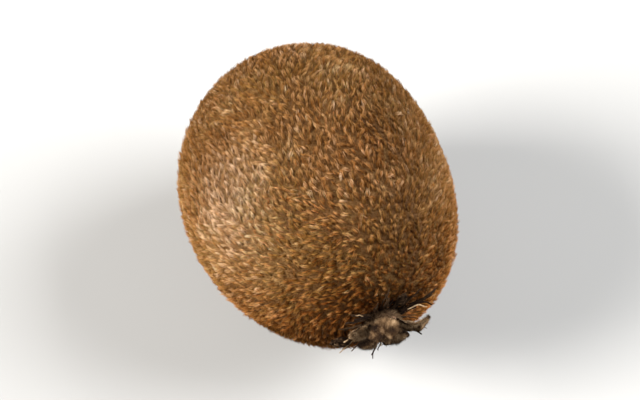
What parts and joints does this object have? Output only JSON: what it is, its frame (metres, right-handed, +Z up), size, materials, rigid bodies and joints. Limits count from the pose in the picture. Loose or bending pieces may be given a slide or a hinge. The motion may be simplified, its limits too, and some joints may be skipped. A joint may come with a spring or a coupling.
{
  "type": "kiwifruit",
  "caption": "Whole furry kiwifruit lying on its side on a small flat spot, with the dried sepals and stamens round its stalk scar and dried styles at the other end.",
  "frame": {"origin": "the middle of the flat rest spot under the fruit", "axes": "+Z up, the fruit's long axis along Y with the blossom end to +Y and the stalk end to -Y, +X across it"},
  "size_m": [0.054, 0.0732, 0.0503],
  "materials": {
    "fruit_skin": "brown skin covered with short light brown hairs",
    "dried_sepal": "dry felted grey-brown sepals and stalk scar",
    "dried_thread": "dry dark brown to black threads",
    "dried_style": "dry dark brown threads"
  },
  "bodies": {
    "root": {"fruit": "fruit_skin", "calyx": "dried_sepal", "stamens": "dried_thread", "styles": "dried_style"}
  },
  "joints": []
}
